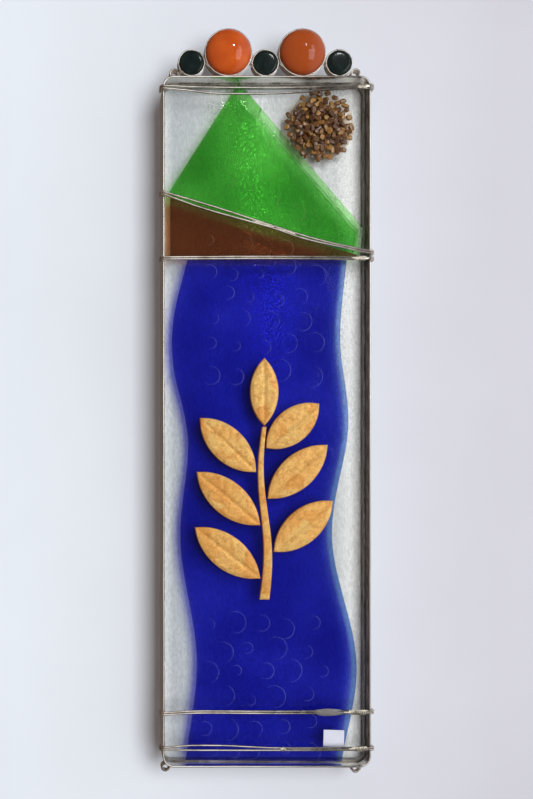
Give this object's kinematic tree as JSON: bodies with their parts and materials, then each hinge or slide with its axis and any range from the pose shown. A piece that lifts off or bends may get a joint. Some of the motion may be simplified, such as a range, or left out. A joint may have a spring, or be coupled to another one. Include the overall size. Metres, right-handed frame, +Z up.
{
  "type": "mezuzah case",
  "caption": "Tall wall-hung case: sheet metal tray with fused coloured glass, cross wires, gilded sprig, seeds and set stones, with a sliding cover over the scroll at the rear.",
  "frame": {"origin": "middle of the tray's rear face, on the wall plane", "axes": "+Z up along the case, +Y into the wall, so the glass front faces -Y; +X is to the viewer's right"},
  "size_m": [0.0846, 0.0207, 0.2964],
  "materials": {
    "tinned_sheet": "bright tinned sheet, polished inside",
    "tinned_wire": "bright tinned wire with solder",
    "bezel_silver": "polished",
    "silver_foil": "crinkled foil",
    "clear_glass": "rippled",
    "green_glass": "fused, glossy",
    "brown_glass": "fused, glossy",
    "blue_glass": "fused, glossy",
    "gold_leaf": "crinkled leaf, satin",
    "seeds": "glossy",
    "label_paper": "matt",
    "carnelian": "polished dome",
    "dark_stone": "polished flat",
    "parchment": "matt",
    "spacer_wood": "plain sawn"
  },
  "bodies": {
    "case": {"backing_sheet": "silver_foil", "base_wire_lower": "tinned_wire", "base_wire_upper": "tinned_wire", "bezel_big_left": "bezel_silver", "bezel_big_right": "bezel_silver", "bezel_small_left": "bezel_silver", "bezel_small_middle": "bezel_silver", "bezel_small_right": "bezel_silver", "blank_label": "label_paper", "blue_glass": "blue_glass", "brown_glass": "brown_glass", "clear_pane": "clear_glass", "cover_rail_left": "tinned_sheet", "cover_rail_right": "tinned_sheet", "cover_stop_lower": "tinned_sheet", "cover_stop_upper": "tinned_sheet", "green_glass": "green_glass", "leaf_left_lower": "gold_leaf", "leaf_left_middle": "gold_leaf", "leaf_left_upper": "gold_leaf", "leaf_right_lower": "gold_leaf", "leaf_right_middle": "gold_leaf", "leaf_right_upper": "gold_leaf", "leaf_tip": "gold_leaf", "level_wire_lower": "tinned_wire", "level_wire_upper": "tinned_wire", "lower_wire_lower": "tinned_wire", "lower_wire_upper": "tinned_wire", "nail_loop_bottom_left": "tinned_wire", "nail_loop_bottom_right": "tinned_wire", "nail_loop_top_left": "tinned_wire", "nail_loop_top_right": "tinned_wire", "rear_panel": "tinned_sheet", "rim_band": "tinned_sheet", "scroll": "parchment", "scroll_clip_lower": "tinned_sheet", "scroll_clip_upper": "tinned_sheet", "seed_cluster": "seeds", "slope_wire_lower": "tinned_wire", "slope_wire_upper": "tinned_wire", "spacer_bottom": "spacer_wood", "spacer_left": "spacer_wood", "spacer_right": "spacer_wood", "spacer_top": "spacer_wood", "sprig_stem": "gold_leaf", "stone_big_left": "carnelian", "stone_big_right": "carnelian", "stone_small_left": "dark_stone", "stone_small_middle": "dark_stone", "stone_small_right": "dark_stone", "top_wire_lower": "tinned_wire", "top_wire_upper": "tinned_wire"},
    "cover": {"scroll_cover": "tinned_sheet"}
  },
  "joints": [
    {"name": "cover_slide", "type": "slide", "parent": "case", "child": "cover", "axis": [0, 0, 1], "range_m": [0, 0.092]}
  ]
}
